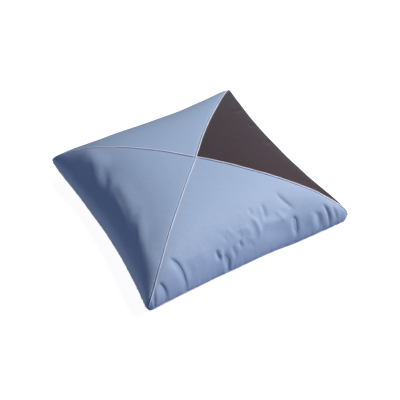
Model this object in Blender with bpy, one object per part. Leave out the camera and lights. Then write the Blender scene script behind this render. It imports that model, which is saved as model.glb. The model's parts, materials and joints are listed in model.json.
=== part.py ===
"""Throw cushion with a four-triangle top and piping in its diagonal seams.

The cushion is drawn as a flat square pattern, cut along its seams and creases, and every
point of the pattern is then lifted to the filled form. All cloth layers share that pattern,
so each panel lies evenly over the filled body. Metres, +Z up, lying on its back on z = 0.
"""

import math
from collections import namedtuple

import bmesh
import bpy
from mathutils import Vector

# Overall form
HALF_SIDE = 0.235
CORNER_HEIGHT = 0.044
CROWN_RISE = 0.089
CROWN_EDGE_POWER = 2.4
CROWN_FULLNESS = 0.28
UNDERSIDE_EASE = 0.85
DRAW_IN_POWER = 3
SIDE_SAG_POWER = 1.5
UNDERSIDE_DEPTH = 0.056
FLOOR_EASE = 0.006

# Cloth and piping
CLOTH_THICKNESS = 0.0015
LAYER_GAP = 0.0003
PIPING_RADIUS = 0.0015
PANEL_CUT_FROM_SEAM = 0.0022
PANEL_CUT_FROM_EDGE = 0.0004
PIPING_END_FROM_CORNER = 0.0012
SHORT_PIPING_START = 0.0024

# Pattern grid
GRID_CELLS = 28
EDGE_CLUSTERING = 0.75
FOLD_LINES = (-1.9, -0.9, 0.0, 0.9, 1.9)
FOLD_END_MARGIN = 0.25
SHORT_EDGE = 0.0009
NORMAL_STEP = 0.002
ON_LINE = 1e-5

# How far each side is drawn in at its middle, how far its seam sags there, and how much lower the
# crown runs towards mid side than on the diagonals
SIDES = {
    "front": {"draw_in": 0.012, "sag": 0.029, "ease": 0.48},
    "left": {"draw_in": 0.013, "sag": 0.018, "ease": 0.66},
    "rear": {"draw_in": 0.020, "sag": 0.016, "ease": 0.78},
    "right": {"draw_in": 0.015, "sag": 0.016, "ease": 0.76},
}

# How much further in (or out, below 0) the seam of each side runs at even places along it
PULL_PLACES = (-0.225, -0.150, -0.075, 0.000, 0.075, 0.150, 0.225)
PULLS = {
    "front": (0.0023, 0.0004, 0.0027, 0.0012, 0.0022, -0.0030, -0.0039),
    "left": (-0.0031, -0.0014, 0.0008, 0.0009, -0.0011, -0.0046, -0.0051),
    "rear": (0.0009, 0.0057, -0.0027, -0.0014, 0.0059, 0.0069, 0.0032),
    "right": (0.0008, 0.0056, 0.0015, -0.0025, -0.0028, -0.0037, -0.0039),
}
PULL_SPREAD = 0.045

# Corners by their signs along X and Y: lift above the common height, droop of the tip itself,
# how far the tip pokes out, and the radius that rounds its end
CORNERS = {
    (-1, 1): {"lift": 0.002, "droop": 0.004, "poke": 0.0, "radius": 0.002},
    (1, 1): {"lift": -0.003, "droop": 0.0, "poke": 0.0, "radius": 0.005},
    (1, -1): {"lift": 0.012, "droop": 0.013, "poke": 0.0085, "radius": 0.022},
    (-1, -1): {"lift": -0.006, "droop": 0.006, "poke": 0.0, "radius": 0.018},
}
CORNER_REACH = 0.45

# How far the piped seams lie off their diagonals, at even places from the middle to the corner:
# the short seam towards the right corner, the long seam towards the near corner
SEAM_SLIDES = {
    "far": (0.0046, 0.0022, 0.0026, 0.0044, 0.0032, 0.0012),
    "near": (0.0046, 0.0038, 0.0036, 0.0030, 0.0042, 0.0050),
    "right": (-0.0005, 0.0018, 0.0054, 0.0054, 0.0020, 0.0000),
    "left": (-0.0005, -0.0023, -0.0009, 0.0000, 0.0000, 0.0000),
}
SLIDE_WIDTH = 0.030
SLIDE_EDGE_POWER = 14

# Places where the outer seam hangs lower: place along the side, drop, spread along it, reach inwards
Dip = namedtuple("Dip", "side place drop spread reach")
DIPS = (
    Dip("front", 0.162, 0.0100, 0.052, 0.052),
    Dip("front", 0.108, 0.0130, 0.064, 0.070),
    Dip("left", 0.191, 0.0080, 0.034, 0.059),
    Dip("left", 0.080, 0.0055, 0.070, 0.070),
)

# Creases, one row each. Place along the side and distance in from the seam of both ends, half width, skew
# (how much wider the flank towards the far end of the side is, which also sharpens the bottom), depth (a
# ridge when negative), and height of the lip beside the trough, on the flank that its sign says
Fold = namedtuple("Fold", "side start start_in end end_in half_width skew depth lip")
FOLDS = (
    Fold("front", -0.216, 0.018, -0.220, 0.000, 0.0044, 0.0, 0.0024, 0.0008),
    Fold("front", -0.200, 0.018, -0.191, 0.002, 0.0046, 0.0, 0.0036, -0.0008),
    Fold("front", -0.160, 0.042, -0.147, 0.002, 0.0048, 0.0, 0.0046, -0.0008),
    Fold("front", -0.138, 0.026, -0.130, 0.006, 0.0100, 0.0, 0.0016, 0.0000),
    Fold("front", -0.100, 0.034, -0.094, 0.012, 0.0120, 0.0, -0.0014, 0.0000),
    Fold("front", -0.067, 0.023, -0.065, 0.010, 0.0044, 0.3, 0.0036, 0.0010),
    Fold("front", -0.060, 0.018, -0.054, 0.006, 0.0044, 0.0, -0.0012, 0.0000),
    Fold("front", -0.055, 0.012, -0.044, 0.001, 0.0052, 0.5, 0.0054, -0.0010),
    Fold("front", -0.032, 0.018, -0.026, 0.006, 0.0044, 0.3, 0.0020, -0.0006),
    Fold("front", -0.013, 0.022, -0.011, 0.013, 0.0044, 0.0, 0.0022, 0.0006),
    Fold("front", -0.010, 0.036, -0.005, 0.024, 0.0056, 0.0, 0.0010, 0.0006),
    Fold("front", 0.001, 0.014, 0.018, 0.009, 0.0044, 0.0, 0.0010, 0.0007),
    Fold("front", 0.010, 0.040, 0.016, 0.022, 0.0060, 0.0, -0.0014, 0.0000),
    Fold("front", 0.033, 0.066, 0.032, 0.052, 0.0044, 0.2, 0.0014, 0.0000),
    Fold("front", 0.033, 0.046, 0.036, 0.018, 0.0056, 0.0, -0.0026, 0.0000),
    Fold("front", 0.062, 0.061, 0.057, 0.037, 0.0048, 0.2, 0.0030, -0.0008),
    Fold("front", 0.050, 0.028, 0.108, 0.025, 0.0070, 0.0, -0.0022, 0.0000),
    Fold("front", 0.055, 0.013, 0.106, 0.010, 0.0070, 0.0, 0.0016, 0.0000),
    Fold("front", 0.086, 0.042, 0.099, 0.023, 0.0050, 0.0, -0.0012, 0.0000),
    Fold("front", 0.104, 0.070, 0.123, 0.038, 0.0056, 0.5, 0.0024, -0.0006),
    Fold("front", 0.120, 0.024, 0.118, 0.004, 0.0054, 0.5, 0.0058, -0.0010),
    Fold("front", 0.134, 0.016, 0.135, 0.003, 0.0100, 0.0, 0.0018, 0.0000),
    Fold("front", 0.170, 0.015, 0.167, 0.002, 0.0062, 0.0, 0.0032, -0.0014),
    Fold("front", 0.187, 0.021, 0.188, 0.002, 0.0044, 0.2, 0.0030, 0.0016),
    Fold("front", 0.203, 0.010, 0.203, 0.003, 0.0044, 0.0, 0.0010, 0.0008),
    Fold("left", 0.133, 0.058, 0.124, 0.026, 0.0064, 0.0, 0.0010, 0.0005),
    Fold("left", 0.086, 0.066, 0.074, 0.030, 0.0070, 0.0, 0.0010, 0.0005),
    Fold("left", 0.046, 0.078, 0.032, 0.036, 0.0080, 0.0, 0.0011, -0.0005),
    Fold("left", -0.010, 0.082, -0.022, 0.034, 0.0076, 0.0, 0.0010, 0.0004),
    Fold("left", -0.070, 0.084, -0.084, 0.034, 0.0086, 0.0, 0.0011, 0.0005),
    Fold("right", 0.141, 0.050, 0.161, 0.028, 0.0044, 0.0, 0.0016, 0.0008),
    Fold("right", 0.048, 0.056, 0.060, 0.036, 0.0050, 0.0, 0.0014, 0.0006),
    Fold("right", -0.030, 0.058, -0.018, 0.036, 0.0050, 0.0, 0.0012, 0.0005),
)

LIP_OFFSET = 1.8

# Colours, linear RGB
LIGHT_BLUE = (0.35, 0.46, 0.62)
DARK_BROWN = (0.075, 0.050, 0.062)
PALE_PINK = (0.72, 0.58, 0.70)
CLOTH_ROUGHNESS = 0.62
PIPING_ROUGHNESS = 0.55


def clear_scene():
    """Remove whatever objects the open file holds."""
    for existing in list(bpy.data.objects):
        bpy.data.objects.remove(existing, do_unlink=True)


def smooth_step(t):
    """Ease from 0 to 1 as t goes from 0 to 1."""
    t = min(max(t, 0.0), 1.0)
    return t * t * (3.0 - 2.0 * t)


def side_position(side, x, y):
    """Place along a side, and distance in from its seam, of a pattern point."""
    return {
        "front": (x, HALF_SIDE + y),
        "rear": (x, HALF_SIDE - y),
        "left": (y, HALF_SIDE + x),
        "right": (y, HALF_SIDE - x),
    }[side]


def drawn_in(across, along, near_side):
    """Coordinate across the cushion once its sides are drawn in between the corners."""
    narrowing = SIDES[near_side]["draw_in"] * (1.0 - along * along)
    for place, amount in zip(PULL_PLACES, PULLS[near_side]):
        narrowing += amount * math.exp(-(((along * HALF_SIDE - place) / PULL_SPREAD) ** 2))
    return across * (HALF_SIDE - narrowing * abs(across) ** DRAW_IN_POWER)


def seam_level(u, v, x, y):
    """Height of the level that the outer seam lies on, carried inwards over the pattern."""
    lift = sum(c["lift"] * (1 + sx * u) * (1 + sy * v) / 4 for (sx, sy), c in CORNERS.items())
    slope = u * u - v * v
    if slope > 0:
        side = "right" if u > 0 else "left"
    else:
        side = "rear" if v > 0 else "front"
    height = CORNER_HEIGHT + lift - SIDES[side]["sag"] * abs(slope) ** SIDE_SAG_POWER
    for dip in DIPS:
        place, inwards = side_position(dip.side, x, y)
        height -= dip.drop * math.exp(-(((place - dip.place) / dip.spread) ** 2) - (inwards / dip.reach) ** 2)
    return height


def corner_share(signs, u, v, reach):
    """Straight share that runs from 1 at the tip of a corner to 0 at its reach."""
    across = signs[0] * u
    along = signs[1] * v
    if across <= 0 or along <= 0:
        return 0.0
    return max((across + along - 2.0 + reach) / reach, 0.0)


def crown(u, v, ease):
    """Share of the full rise, 1 in the middle and 0 on the outer seam."""
    a = max(1.0 - abs(u) ** CROWN_EDGE_POWER, 0.0)
    b = max(1.0 - abs(v) ** CROWN_EDGE_POWER, 0.0)
    if a * b == 0.0:
        return 0.0
    return (a * b) ** CROWN_FULLNESS * (2.0 * math.sqrt(a * b) / (a + b)) ** ease


def filled_point(x, y, rise, floor_ease=None):
    """A pattern point lifted to the filled form: the top, or the underside for a negative rise."""
    u = x / HALF_SIDE
    v = y / HALF_SIDE
    side_across = "right" if u > 0 else "left"
    side_along = "rear" if v > 0 else "front"
    ease = SIDES[side_across if abs(u) > abs(v) else side_along]["ease"] if rise > 0 else UNDERSIDE_EASE
    px = drawn_in(u, v, side_across)
    py = drawn_in(v, u, side_along)
    pz = seam_level(u, v, x, y) + rise * crown(u, v, ease)
    for signs, corner in CORNERS.items():
        near = smooth_step(corner_share(signs, u, v, CORNER_REACH))
        tip = corner_share(signs, u, v, corner["radius"] / HALF_SIDE)
        outwards = corner["poke"] * near - corner["radius"] * tip ** 2 / 4.0
        px += signs[0] * outwards
        py += signs[1] * outwards
        pz -= corner["droop"] * near
    if floor_ease:
        if pz < -floor_ease:
            pz = 0.0
        elif pz < floor_ease:
            pz = (pz + floor_ease) ** 2 / (4.0 * floor_ease)
    return Vector((px, py, pz))


def top_normal(x, y):
    """Outward direction of the smooth top, from two short steps over the pattern."""
    limit = HALF_SIDE - NORMAL_STEP
    x = min(max(x, -limit), limit)
    y = min(max(y, -limit), limit)
    step_x = filled_point(x + NORMAL_STEP, y, CROWN_RISE) - filled_point(x - NORMAL_STEP, y, CROWN_RISE)
    step_y = filled_point(x, y + NORMAL_STEP, CROWN_RISE) - filled_point(x, y - NORMAL_STEP, CROWN_RISE)
    return step_x.cross(step_y).normalized()


def flank_width(fold, across):
    """Width of the flank of a crease on the side that the sign of a distance across it says."""
    return fold.half_width * (1.0 + math.copysign(fold.skew, across * fold.skew))


def fold_relief(x, y):
    """Height that the creases add to the top along its normal."""
    relief = 0.0
    for fold in FOLDS:
        place, inwards = side_position(fold.side, x, y)
        run = fold.end - fold.start
        rise = fold.end_in - fold.start_in
        length = math.hypot(run, rise)
        share = ((place - fold.start) * run + (inwards - fold.start_in) * rise) / length ** 2
        across = ((inwards - fold.start_in) * run - (place - fold.start) * rise) / length
        width = flank_width(fold, across)
        lip_width = flank_width(fold, fold.lip)
        lip_line = math.copysign(LIP_OFFSET * lip_width, fold.lip)
        trough = -fold.depth * math.exp(-(abs(across / width) ** (2.0 - abs(fold.skew))))
        lip = abs(fold.lip) * math.exp(-(((across - lip_line) / lip_width) ** 2))
        relief += (trough + lip) * math.exp(-((2.0 * share - 1.0) ** 4))
    return relief


def even_curve(values, share):
    """A smooth curve through values at even places, where the share runs from 0 to 1."""
    last = len(values) - 1
    place = min(max(share, 0.0), 1.0) * last
    before = min(int(place), last - 1)
    t = place - before
    weights = (
        ((2.0 - t) * t - 1.0) * t / 2.0,
        (t * t * (3.0 * t - 5.0) + 2.0) / 2.0,
        ((4.0 - 3.0 * t) * t + 1.0) * t / 2.0,
        (t - 1.0) * t * t / 2.0,
    )
    return sum(weights[i] * values[min(max(before + i - 1, 0), last)] for i in range(4))


def slide_seams(x, y):
    """Move a pattern point beside the piped seams, which wander off the true diagonals."""
    along_short = (x + y) / (2.0 * HALF_SIDE)
    along_long = (x - y) / (2.0 * HALF_SIDE)
    short = even_curve(SEAM_SLIDES["far" if along_short > 0 else "near"], abs(along_short))
    long = even_curve(SEAM_SLIDES["right" if along_long > 0 else "left"], abs(along_long))
    inside = 1.0 - (max(abs(x), abs(y)) / HALF_SIDE) ** SLIDE_EDGE_POWER
    short *= inside * math.exp(-(((x - y) / SLIDE_WIDTH) ** 2) / 2.0)
    long *= inside * math.exp(-(((x + y) / SLIDE_WIDTH) ** 2) / 2.0)
    return x + (short - long) / math.sqrt(2.0), y - (short + long) / math.sqrt(2.0)


def top_point(x, y):
    """A pattern point on the outside of the creased top."""
    x, y = slide_seams(x, y)
    return filled_point(x, y, CROWN_RISE) + top_normal(x, y) * fold_relief(x, y)


def underside_point(x, y):
    """A pattern point on the underside, which flattens where it rests."""
    return filled_point(x, y, -UNDERSIDE_DEPTH, FLOOR_EASE)


def cut_pattern(pattern, point, direction, faces, **clear):
    """Cut some faces of the flat pattern along one straight line."""
    edges = {edge for face in faces for edge in face.edges}
    verts = {vert for face in faces for vert in face.verts}
    bmesh.ops.bisect_plane(
        pattern, geom=list(faces) + list(edges) + list(verts), dist=ON_LINE,
        plane_co=point, plane_no=direction, **clear)


def pattern_point(side, place, inwards):
    """Pattern point at a place along a side and a distance in from its seam."""
    return {
        "front": Vector((place, inwards - HALF_SIDE, 0.0)),
        "rear": Vector((place, HALF_SIDE - inwards, 0.0)),
        "left": Vector((inwards - HALF_SIDE, place, 0.0)),
        "right": Vector((HALF_SIDE - inwards, place, 0.0)),
    }[side]


def cut_fold_lines(pattern, fold):
    """Give the pattern lines along one crease, so that its section is followed."""
    run = fold.end - fold.start
    rise = fold.end_in - fold.start_in
    start = pattern_point(fold.side, fold.start, fold.start_in)
    along = pattern_point(fold.side, fold.end, fold.end_in) - start
    across = pattern_point(fold.side, fold.start - rise, fold.start_in + run) - start
    length = along.length
    along.normalize()
    across.normalize()
    reach = (FOLD_LINES[-1] + 1.0) * fold.half_width * (1.0 + abs(fold.skew))
    for line in FOLD_LINES:
        near = []
        for face in pattern.faces:
            centre = face.calc_center_median() - start
            share = centre.dot(along) / length
            in_length = -FOLD_END_MARGIN < share < 1.0 + FOLD_END_MARGIN
            if in_length and abs(centre.dot(across)) < reach:
                near.append(face)
        cut_pattern(pattern, start + across * line * flank_width(fold, line), across, near)


def make_pattern():
    """The flat square pattern, with lines along the creases and both diagonal seams."""
    pattern = bmesh.new()
    bmesh.ops.create_grid(pattern, x_segments=GRID_CELLS, y_segments=GRID_CELLS, size=HALF_SIDE)
    for vert in pattern.verts:
        for axis in (0, 1):
            t = vert.co[axis] / HALF_SIDE
            eased = EDGE_CLUSTERING * math.sin(t * math.pi / 2) + (1.0 - EDGE_CLUSTERING) * t
            vert.co[axis] = eased * HALF_SIDE
    for fold in FOLDS:
        cut_fold_lines(pattern, fold)
    inner_verts = [vert for vert in pattern.verts if not vert.is_boundary]
    bmesh.ops.remove_doubles(pattern, verts=inner_verts, dist=SHORT_EDGE)
    for diagonal in ((1, 1, 0), (1, -1, 0)):
        cut_pattern(pattern, (0, 0, 0), diagonal, pattern.faces[:])
    bmesh.ops.triangulate(pattern, faces=pattern.faces[:])
    store_form(pattern)
    return pattern


def store_form(pattern):
    """Keep each point's filled place and outward direction with the flat pattern."""
    place_layer = pattern.verts.layers.float_vector.new("place")
    outward_layer = pattern.verts.layers.float_vector.new("outward")
    flat = {vert: vert.co.copy() for vert in pattern.verts}
    for vert in pattern.verts:
        vert.co = top_point(vert.co.x, vert.co.y)
        vert[place_layer] = vert.co
    pattern.normal_update()
    for vert in pattern.verts:
        vert[outward_layer] = vert.normal
        vert.co = flat[vert]


def layer_point(vert, layers, depth):
    """Where a pattern point lies, some depth under the outside of the top."""
    place_layer, outward_layer = layers
    return vert[place_layer] - vert[outward_layer] * depth


def form_layers(pattern):
    """The two custom layers that hold the filled form."""
    vectors = pattern.verts.layers.float_vector
    return vectors["place"], vectors["outward"]


def thicken(pattern):
    """Double the flat pattern into a closed shell, and give its lower and upper points."""
    lower = pattern.verts[:]
    extruded = bmesh.ops.extrude_face_region(pattern, geom=pattern.faces[:], use_keep_orig=True)
    upper = [item for item in extruded["geom"] if isinstance(item, bmesh.types.BMVert)]
    return lower, upper


def make_material(name, colour, roughness):
    """One plain Principled material."""
    material = bpy.data.materials.new(name)
    material.use_nodes = True
    shader = material.node_tree.nodes["Principled BSDF"]
    shader.inputs["Base Color"].default_value = (*colour, 1.0)
    shader.inputs["Roughness"].default_value = roughness
    shader.inputs["Metallic"].default_value = 0.0
    return material


def finish_object(name, mesh_source, material):
    """Turn a closed bmesh into a smooth named object."""
    bmesh.ops.recalc_face_normals(mesh_source, faces=mesh_source.faces[:])
    mesh = bpy.data.meshes.new(name)
    mesh_source.to_mesh(mesh)
    mesh_source.free()
    mesh.shade_smooth()
    mesh.materials.append(material)
    thing = bpy.data.objects.new(name, mesh)
    bpy.context.scene.collection.objects.link(thing)
    return thing


def make_filled_cushion(pattern, material):
    """The filled body: top under the panels, knife edge, and underside with its resting patch."""
    body = pattern.copy()
    layers = form_layers(body)
    lower, upper = thicken(body)
    for vert in lower:
        vert.co = underside_point(vert.co.x, vert.co.y)
    for vert in upper:
        vert.co = layer_point(vert, layers, CLOTH_THICKNESS + LAYER_GAP)
    resting = [face for face in body.faces if all(vert.co.z == 0.0 for vert in face.verts)]
    bmesh.ops.dissolve_faces(body, faces=resting, use_verts=True)
    return finish_object("filled_cushion", body, material)


def make_panel(name, pattern, outward, material):
    """One triangular top panel, cut clear of the piping and of the outer seam."""
    panel = pattern.copy()
    layers = form_layers(panel)
    edge = Vector(outward)
    cut_pattern(panel, edge * (HALF_SIDE - PANEL_CUT_FROM_EDGE), edge, panel.faces[:], clear_outer=True)
    for turn in (-1, 1):
        seam_side = Vector((edge.x - turn * edge.y, edge.y + turn * edge.x, 0.0)).normalized()
        cut_pattern(panel, seam_side * PANEL_CUT_FROM_SEAM, seam_side, panel.faces[:], clear_inner=True)
    lower, upper = thicken(panel)
    for vert in lower:
        vert.co = layer_point(vert, layers, CLOTH_THICKNESS)
    for vert in upper:
        vert.co = layer_point(vert, layers, 0.0)
    return finish_object(name, panel, material)


def seam_route(pattern, direction, start, end):
    """Points of the top along one diagonal, from start to end measured from the middle."""
    place_layer = pattern.verts.layers.float_vector["place"]
    direction = Vector(direction).normalized()
    on_seam = []
    for vert in pattern.verts:
        distance = vert.co.dot(direction)
        if (vert.co - direction * distance).length < ON_LINE:
            on_seam.append((distance, vert[place_layer].copy()))
    on_seam.sort(key=lambda entry: entry[0])
    route = [interpolate(on_seam, start)]
    route += [place for distance, place in on_seam if start + SHORT_EDGE < distance < end - SHORT_EDGE]
    route.append(interpolate(on_seam, end))
    return route


def interpolate(on_seam, wanted):
    """Point of a seam at a wanted distance from the middle."""
    for (before, low), (after, high) in zip(on_seam, on_seam[1:]):
        if before <= wanted <= after:
            return low.lerp(high, (wanted - before) / (after - before))
    raise ValueError("a seam point lies off the cushion")


def make_piping(name, route, material):
    """A round piping cord along a seam route, with capped ends."""
    curve = bpy.data.curves.new(name, "CURVE")
    curve.dimensions = "3D"
    curve.bevel_depth = PIPING_RADIUS
    curve.bevel_resolution = 2
    curve.use_fill_caps = True
    spline = curve.splines.new("POLY")
    spline.points.add(len(route) - 1)
    for point, place in zip(spline.points, route):
        point.co = (*place, 1.0)
    spline.use_smooth = True
    curve.materials.append(material)
    thing = bpy.data.objects.new(name, curve)
    bpy.context.scene.collection.objects.link(thing)
    return thing


def main():
    """Build the whole cushion."""
    clear_scene()
    blue = make_material("light_blue_cotton", LIGHT_BLUE, CLOTH_ROUGHNESS)
    brown = make_material("dark_brown_cotton", DARK_BROWN, CLOTH_ROUGHNESS)
    back = make_material("back_cotton", LIGHT_BLUE, CLOTH_ROUGHNESS)
    pink = make_material("pink_piping", PALE_PINK, PIPING_ROUGHNESS)
    pattern = make_pattern()
    make_filled_cushion(pattern, back)
    make_panel("panel_front", pattern, (0, -1, 0), blue)
    make_panel("panel_left", pattern, (-1, 0, 0), blue)
    make_panel("panel_rear", pattern, (0, 1, 0), blue)
    make_panel("panel_right", pattern, (1, 0, 0), brown)
    reach = HALF_SIDE * math.sqrt(2.0) - PIPING_END_FROM_CORNER
    make_piping("piping_long", seam_route(pattern, (1, -1, 0), -reach, reach), pink)
    make_piping("piping_to_near_corner", seam_route(pattern, (-1, -1, 0), SHORT_PIPING_START, reach), pink)
    make_piping("piping_to_far_corner", seam_route(pattern, (1, 1, 0), SHORT_PIPING_START, reach), pink)
    pattern.free()


main()
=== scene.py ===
"""Throw cushion with a four-triangle top and piped diagonal seams: its cloth, piping, materials and studio.

Every piece starts as the flat square pattern that the cover is cut from. The pattern is cut along its
seams and creases, lifted to the filled form, and given a share of what a cloth simulation moves.
Metres, +Z up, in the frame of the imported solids.
"""

import json
import math
from collections import namedtuple

import bmesh
import bpy
import numpy as np
from bpy.props import FloatProperty, FloatVectorProperty, IntProperty, PointerProperty
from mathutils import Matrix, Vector

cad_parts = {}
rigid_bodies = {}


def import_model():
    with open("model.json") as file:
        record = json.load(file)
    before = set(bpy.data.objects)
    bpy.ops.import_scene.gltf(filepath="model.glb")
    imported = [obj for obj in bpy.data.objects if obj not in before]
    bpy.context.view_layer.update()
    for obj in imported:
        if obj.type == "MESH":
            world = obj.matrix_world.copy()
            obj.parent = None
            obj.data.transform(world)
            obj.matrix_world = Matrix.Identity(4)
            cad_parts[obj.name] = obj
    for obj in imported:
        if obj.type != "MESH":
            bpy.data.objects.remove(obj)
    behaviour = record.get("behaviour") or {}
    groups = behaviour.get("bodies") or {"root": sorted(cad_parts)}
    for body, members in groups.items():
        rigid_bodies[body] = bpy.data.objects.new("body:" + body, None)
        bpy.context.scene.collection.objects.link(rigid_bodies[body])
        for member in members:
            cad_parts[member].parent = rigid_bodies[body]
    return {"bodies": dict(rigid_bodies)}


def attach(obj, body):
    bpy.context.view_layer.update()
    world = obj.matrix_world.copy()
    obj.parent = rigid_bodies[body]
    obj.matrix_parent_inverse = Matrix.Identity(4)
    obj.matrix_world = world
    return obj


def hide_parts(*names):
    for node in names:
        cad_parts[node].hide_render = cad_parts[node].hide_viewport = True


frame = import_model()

bl_info = {
    "name": "Piped Throw Cushion",
    "version": (1, 0, 0),
    "blender": (4, 5, 0),
    "location": "3D View > Sidebar > Cushion",
    "description": "Builds a filled throw cushion with four triangular panels and piped seams",
    "category": "Add Mesh",
}

BODY = "root" if "root" in frame["bodies"] else next(iter(frame["bodies"]))

# Tables of the form. Each side is drawn in at its middle and its seam sags there. The ease says how much
# lower the crown runs towards mid side than on the diagonals. The pulls say how much further in (or out,
# below 0) the seam runs at even places from one end of the side to the other, along +X or +Y.
Side = namedtuple("Side", "draw_in sag ease pulls")
SIDES = {
    "front": Side(0.012, 0.029, 0.48, (0.0023, 0.0004, 0.0027, 0.0012, 0.0022, -0.0030, -0.0039)),
    "left": Side(0.013, 0.018, 0.66, (-0.0031, -0.0014, 0.0008, 0.0009, -0.0011, -0.0046, -0.0051)),
    "rear": Side(0.020, 0.016, 0.78, (0.0009, 0.0057, -0.0027, -0.0014, 0.0059, 0.0069, 0.0032)),
    "right": Side(0.015, 0.016, 0.76, (0.0008, 0.0056, 0.0015, -0.0025, -0.0028, -0.0037, -0.0039)),
}
# The axis that each side lies across, 0 for X and 1 for Y, and the sign of its half
SIDE_AXES = {"front": (1, -1), "left": (0, -1), "rear": (1, 1), "right": (0, 1)}
PULL_PLACES = (-0.225, -0.150, -0.075, 0.000, 0.075, 0.150, 0.225)
PULL_SPREAD = 0.045
UNDERSIDE_EASE = 0.85

# Corners: signs along X and Y, lift of the corner, droop of its tip, how far the tip pokes out, and the
# radius that rounds its end
Corner = namedtuple("Corner", "x_sign y_sign lift droop poke radius")
CORNERS = (
    Corner(-1, 1, 0.002, 0.004, 0.000, 0.002),
    Corner(1, 1, -0.001, 0.000, 0.000, 0.002),
    Corner(1, -1, 0.012, 0.013, 0.0085, 0.022),
    Corner(-1, -1, -0.006, 0.006, 0.000, 0.021),
)

# Places where the outer seam hangs lower: place along the side, drop, spread along it, reach inwards
Dip = namedtuple("Dip", "side place drop spread reach")
DIPS = (
    Dip("front", 0.162, 0.0100, 0.052, 0.052),
    Dip("front", 0.108, 0.0130, 0.064, 0.070),
    Dip("left", 0.191, 0.0080, 0.034, 0.059),
    Dip("left", 0.080, 0.0055, 0.070, 0.070),
)

# Creases, one row each. In millimetres: place along the side and distance in from the seam of both ends,
# bow of the line between them, half width, depth (a ridge when negative), and height of the lip beside the
# trough, on the flank that its sign says. Then skew (how much wider the flank towards the far end of the
# side is) and sharpness of the bottom. The last three are 0 where they are left out.
Fold = namedtuple(
    "Fold", "start start_in end end_in bow half_width depth lip skew sharp", defaults=(0.0, 0.0, 0.0))
FOLD_LENGTHS = 8
FOLDS = {
    "front": (
        (-216, 18, -220, 0, 1, 3.6, 2.4, 0.8),
        (-200, 18, -191, 2, 1, 5.2, 3.6, 0, -0.4, 0.4),
        (-160, 42, -147, 2, 3, 5.6, 4.6, 0, -0.4, 0.4),
        (-138, 26, -130, 6, 2, 10, 1.6),
        (-100, 34, -94, 12, 2, 12, -1.4),
        (-67, 23, -65, 10, 0, 4.4, 3.4, 0.8, 0, 0.3),
        (-60, 18, -54, 6, 0, 4, -1.2),
        (-55, 12, -44, 1, 0, 5.6, 5, -0.4, 0.2, 0.5),
        (-32, 18, -26, 6, 0, 4.6, 2, 0, 0, 0.3),
        (-49, 48, -37, 28, 1, 5, 0.7),
        (-30, 50, -20, 32, 1, 5, -0.7),
        (-13, 22, -11, 13, 0, 3.8, 2.2, 0.6),
        (-10, 36, -5, 24, 1, 5.6, 1, 0.6),
        (1, 14, 18, 9, 1, 4, 1, 0.7),
        (10, 40, 16, 22, 1, 6, -1.4),
        (33, 66, 32, 52, 0, 4.2, 1.4, 0, 0.2, 0.2),
        (33, 46, 36, 18, 2, 5.6, -2.6),
        (62, 61, 57, 37, 1, 4.8, 3, -0.8, 0.2, 0.2),
        (50, 28, 108, 25, 2, 7, -2.2),
        (55, 13, 106, 10, 0, 7, 1.6),
        (86, 42, 99, 23, 1, 5, -1.2),
        (104, 70, 123, 38, -2, 5.6, 2.6, 0, -0.3, 0.6),
        (121, 23, 118, 4, 0, 5.2, 6.2, 0, 0, 0.4),
        (136, 16, 137, 3, 0, 10, 0.6),
        (170, 15, 167, 2, 1, 6.2, 3.2, -1.4),
        (187, 21, 188, 2, 1, 3.6, 2.9, 1.4, 0.2, 0.5),
        (202, 14, 202, 3, 0, 3.4, 1.6, 0.8, 0, 0.4),
    ),
    "left": (
        (168, 50, 88, 64, 0, 20, -5.2),
        (128, 55, 66, 33, 0, 10, -1.6, 0, -0.2, 0.2),
        (98, 66, 46, 50, 2, 8, 0.8),
        (58, 68, 26, 40, 0, 10, -1.1),
        (50, 62, -90, 58, 0, 20, -4),
        (28, 58, -24, 54, 2, 8, 0.8),
        (10, 49, -56, 38, 0, 8, -1.2, 0, -0.2, 0.2),
        (-50, 73, -72, 52, 0, 8, 0.8),
        (-86, 56, -126, 34, 0, 8, -1.1, 0, -0.2, 0.2),
        (-110, 68, -156, 44, 2, 9, 0.8),
        (-80, 58, -180, 32, 0, 16, -3),
        (190, 22, 0, 20, 0, 12, 1.2),
        (0, 21, -215, 15, 0, 11, 0.8),
    ),
    "rear": (),
    "right": (
        (96, 62, 112, 40, 2, 5, 2, 0.8),
        (40, 60, 50, 38, 1, 5.6, 2.6, 0.8, 0.3, 0.3),
        (-30, 64, -16, 42, 1, 5.6, 2.2, 0.6, 0.3, 0.3),
        (-146, 52, -140, 34, 0, 5, 1.4, 0.6),
    ),
}
LIP_OFFSET = 1.9
LIP_WIDTH = 1.3
FOLD_LINES = (-1.5, -0.75, 0.0, 0.75, 1.5)
FOLD_MARGIN = 0.2

# How far each half of the piped seams lies off its diagonal, at even places from the middle to the
# corner: the short seam towards the right corner, the long seam towards the near corner
SEAM_SLIDES = {
    "far": (0.0046, 0.0022, 0.0026, 0.0044, 0.0032, 0.0012),
    "near": (0.0046, 0.0038, 0.0036, 0.0030, 0.0042, 0.0050),
    "right": (-0.0005, 0.0018, 0.0054, 0.0054, 0.0020, 0.0000),
    "left": (-0.0005, -0.0023, -0.0009, 0.0000, 0.0000, 0.0000),
}
SLIDE_WIDTH = 0.030
SLIDE_EDGE_POWER = 14

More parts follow.
